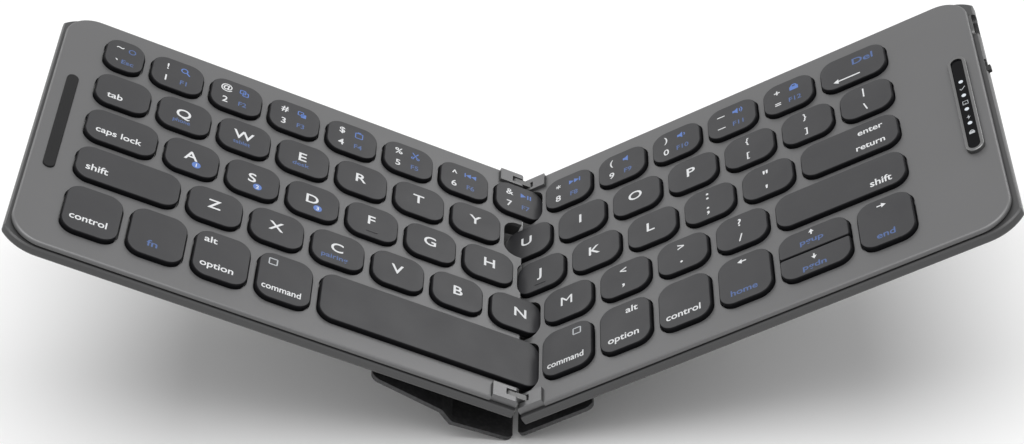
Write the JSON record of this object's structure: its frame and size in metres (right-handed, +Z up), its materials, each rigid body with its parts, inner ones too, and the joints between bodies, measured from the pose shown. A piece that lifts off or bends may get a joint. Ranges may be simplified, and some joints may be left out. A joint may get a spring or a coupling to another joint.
{
  "type": "folding keyboard",
  "caption": "Slim keyboard in two halves joined by paired pins and links, with key rows that press, a charging socket and cover boards under the fold.",
  "frame": {"origin": "centre of the bounding box at the lowest point of the cover boards under the fold, opened to the V of the picture", "axes": "+X across the keys to the typist's right, +Y towards the rear (number row), +Z up"},
  "size_m": [0.2472, 0.0962, 0.0761],
  "materials": {
    "deck": "fine satin, anodised grey",
    "tray": "fine satin, anodised grey",
    "keycap": "smooth matte",
    "hinge_metal": "satin",
    "steel": "brushed",
    "cover": "dark grained leatherette over stiff board",
    "strip": "smooth",
    "foot_rubber": "matte",
    "dome_rubber": "matte",
    "film": "thin film",
    "frame": "polished edge",
    "window": "glossy",
    "light": "clear",
    "battery": "foil pouch",
    "board": "solder mask",
    "magnet": "plated",
    "black_plastic": "matte"
  },
  "bodies": {
    "left_half": {"left_top_cover": "deck", "left_bottom_cover": "tray", "left_key_plate": "steel", "left_membrane": "film", "left_domes": "dome_rubber", "left_hinge_blocks": "hinge_metal", "left_hinge_pins": "steel", "left_screws": "steel", "left_feet": "foot_rubber", "left_magnet": "magnet", "left_hinge_cover": "cover", "bumper_strip": "strip"},
    "hinge_links": {"hinge_links": "steel"},
    "right_half": {"right_top_cover": "deck", "right_bottom_cover": "tray", "right_key_plate": "steel", "right_membrane": "film", "right_domes": "dome_rubber", "right_hinge_blocks": "hinge_metal", "right_hinge_pins": "steel", "right_screws": "steel", "right_feet": "foot_rubber", "right_magnet": "magnet", "right_hinge_cover": "cover", "indicator_frame": "frame", "indicator_window": "window", "indicator_lights": "light", "battery": "battery", "main_board": "board", "usb_port": "steel", "switch_housing": "black_plastic"},
    "power_switch": {"power_switch": "black_plastic"},
    "left_number_keys": {"left_number_keys": "keycap"},
    "left_top_keys": {"left_top_keys": "keycap"},
    "left_home_keys": {"left_home_keys": "keycap"},
    "left_bottom_keys": {"left_bottom_keys": "keycap"},
    "key_tilde": {"key_tilde": "keycap"},
    "key_tab": {"key_tab": "keycap"},
    "key_caps_lock": {"key_caps_lock": "keycap"},
    "key_left_shift": {"key_left_shift": "keycap"},
    "key_left_control": {"key_left_control": "keycap"},
    "key_fn": {"key_fn": "keycap"},
    "key_left_option": {"key_left_option": "keycap"},
    "key_left_command": {"key_left_command": "keycap"},
    "key_space": {"key_space": "keycap"},
    "right_number_keys": {"right_number_keys": "keycap"},
    "right_top_keys": {"right_top_keys": "keycap"},
    "right_home_keys": {"right_home_keys": "keycap"},
    "right_bottom_keys": {"right_bottom_keys": "keycap"},
    "key_delete": {"key_delete": "keycap"},
    "key_enter": {"key_enter": "keycap"},
    "key_right_shift": {"key_right_shift": "keycap"},
    "key_right_command": {"key_right_command": "keycap"},
    "key_right_option": {"key_right_option": "keycap"},
    "key_right_control": {"key_right_control": "keycap"},
    "key_arrow_left": {"key_arrow_left": "keycap"},
    "key_arrow_right": {"key_arrow_right": "keycap"},
    "key_arrow_up": {"key_arrow_up": "keycap"},
    "key_arrow_down": {"key_arrow_down": "keycap"}
  },
  "joints": [
    {"name": "left_fold", "type": "hinge", "parent": "left_half", "child": "hinge_links", "pos_m": [-0.00232, 0, 0.01594], "axis": [0, -1, 0], "range_deg": [0, 90]},
    {"name": "right_fold", "type": "hinge", "parent": "hinge_links", "child": "right_half", "pos_m": [0.00232, 0, 0.01358], "axis": [0, -1, 0], "range_deg": [-53.94, 36.06]},
    {"name": "power_slide", "type": "slide", "parent": "right_half", "child": "power_switch", "axis": [0, 1, 0], "range_m": [0, 0.0028]},
    {"name": "left_number_keys_press", "type": "slide", "parent": "left_half", "child": "left_number_keys", "axis": [-0.4535, 0, -0.8912], "range_m": [0, 0.0009], "stiffness_N_per_m": 500, "springref_m": -0.0002, "deforming": ["left_domes"]},
    {"name": "left_top_keys_press", "type": "slide", "parent": "left_half", "child": "left_top_keys", "axis": [-0.4535, 0, -0.8912], "range_m": [0, 0.0009], "stiffness_N_per_m": 500, "springref_m": -0.0002},
    {"name": "left_home_keys_press", "type": "slide", "parent": "left_half", "child": "left_home_keys", "axis": [-0.4535, 0, -0.8912], "range_m": [0, 0.0009], "stiffness_N_per_m": 500, "springref_m": -0.0002},
    {"name": "left_bottom_keys_press", "type": "slide", "parent": "left_half", "child": "left_bottom_keys", "axis": [-0.4535, 0, -0.8912], "range_m": [0, 0.0009], "stiffness_N_per_m": 500, "springref_m": -0.0002},
    {"name": "key_tilde_press", "type": "slide", "parent": "left_half", "child": "key_tilde", "axis": [-0.4535, 0, -0.8912], "range_m": [0, 0.0009], "stiffness_N_per_m": 500, "springref_m": -0.0002},
    {"name": "key_tab_press", "type": "slide", "parent": "left_half", "child": "key_tab", "axis": [-0.4535, 0, -0.8912], "range_m": [0, 0.0009], "stiffness_N_per_m": 500, "springref_m": -0.0002},
    {"name": "key_caps_lock_press", "type": "slide", "parent": "left_half", "child": "key_caps_lock", "axis": [-0.4535, 0, -0.8912], "range_m": [0, 0.0009], "stiffness_N_per_m": 500, "springref_m": -0.0002},
    {"name": "key_left_shift_press", "type": "slide", "parent": "left_half", "child": "key_left_shift", "axis": [-0.4535, 0, -0.8912], "range_m": [0, 0.0009], "stiffness_N_per_m": 500, "springref_m": -0.0002},
    {"name": "key_left_control_press", "type": "slide", "parent": "left_half", "child": "key_left_control", "axis": [-0.4535, 0, -0.8912], "range_m": [0, 0.0009], "stiffness_N_per_m": 500, "springref_m": -0.0002},
    {"name": "key_fn_press", "type": "slide", "parent": "left_half", "child": "key_fn", "axis": [-0.4535, 0, -0.8912], "range_m": [0, 0.0009], "stiffness_N_per_m": 500, "springref_m": -0.0002},
    {"name": "key_left_option_press", "type": "slide", "parent": "left_half", "child": "key_left_option", "axis": [-0.4535, 0, -0.8912], "range_m": [0, 0.0009], "stiffness_N_per_m": 500, "springref_m": -0.0002},
    {"name": "key_left_command_press", "type": "slide", "parent": "left_half", "child": "key_left_command", "axis": [-0.4535, 0, -0.8912], "range_m": [0, 0.0009], "stiffness_N_per_m": 500, "springref_m": -0.0002},
    {"name": "key_space_press", "type": "slide", "parent": "left_half", "child": "key_space", "axis": [-0.4535, 0, -0.8912], "range_m": [0, 0.0009], "stiffness_N_per_m": 500, "springref_m": -0.0002},
    {"name": "right_number_keys_press", "type": "slide", "parent": "right_half", "child": "right_number_keys", "axis": [0.4535, 0, -0.8912], "range_m": [0, 0.0009], "stiffness_N_per_m": 500, "springref_m": -0.0002, "deforming": ["right_domes"]},
    {"name": "right_top_keys_press", "type": "slide", "parent": "right_half", "child": "right_top_keys", "axis": [0.4535, 0, -0.8912], "range_m": [0, 0.0009], "stiffness_N_per_m": 500, "springref_m": -0.0002},
    {"name": "right_home_keys_press", "type": "slide", "parent": "right_half", "child": "right_home_keys", "axis": [0.4535, 0, -0.8912], "range_m": [0, 0.0009], "stiffness_N_per_m": 500, "springref_m": -0.0002},
    {"name": "right_bottom_keys_press", "type": "slide", "parent": "right_half", "child": "right_bottom_keys", "axis": [0.4535, 0, -0.8912], "range_m": [0, 0.0009], "stiffness_N_per_m": 500, "springref_m": -0.0002},
    {"name": "key_delete_press", "type": "slide", "parent": "right_half", "child": "key_delete", "axis": [0.4535, 0, -0.8912], "range_m": [0, 0.0009], "stiffness_N_per_m": 500, "springref_m": -0.0002},
    {"name": "key_enter_press", "type": "slide", "parent": "right_half", "child": "key_enter", "axis": [0.4535, 0, -0.8912], "range_m": [0, 0.0009], "stiffness_N_per_m": 500, "springref_m": -0.0002},
    {"name": "key_right_shift_press", "type": "slide", "parent": "right_half", "child": "key_right_shift", "axis": [0.4535, 0, -0.8912], "range_m": [0, 0.0009], "stiffness_N_per_m": 500, "springref_m": -0.0002},
    {"name": "key_right_command_press", "type": "slide", "parent": "right_half", "child": "key_right_command", "axis": [0.4535, 0, -0.8912], "range_m": [0, 0.0009], "stiffness_N_per_m": 500, "springref_m": -0.0002},
    {"name": "key_right_option_press", "type": "slide", "parent": "right_half", "child": "key_right_option", "axis": [0.4535, 0, -0.8912], "range_m": [0, 0.0009], "stiffness_N_per_m": 500, "springref_m": -0.0002},
    {"name": "key_right_control_press", "type": "slide", "parent": "right_half", "child": "key_right_control", "axis": [0.4535, 0, -0.8912], "range_m": [0, 0.0009], "stiffness_N_per_m": 500, "springref_m": -0.0002},
    {"name": "key_arrow_left_press", "type": "slide", "parent": "right_half", "child": "key_arrow_left", "axis": [0.4535, 0, -0.8912], "range_m": [0, 0.0009], "stiffness_N_per_m": 500, "springref_m": -0.0002},
    {"name": "key_arrow_right_press", "type": "slide", "parent": "right_half", "child": "key_arrow_right", "axis": [0.4535, 0, -0.8912], "range_m": [0, 0.0009], "stiffness_N_per_m": 500, "springref_m": -0.0002},
    {"name": "key_arrow_up_press", "type": "slide", "parent": "right_half", "child": "key_arrow_up", "axis": [0.4535, 0, -0.8912], "range_m": [0, 0.0009], "stiffness_N_per_m": 500, "springref_m": -0.0002},
    {"name": "key_arrow_down_press", "type": "slide", "parent": "right_half", "child": "key_arrow_down", "axis": [0.4535, 0, -0.8912], "range_m": [0, 0.0009], "stiffness_N_per_m": 500, "springref_m": -0.0002}
  ]
}
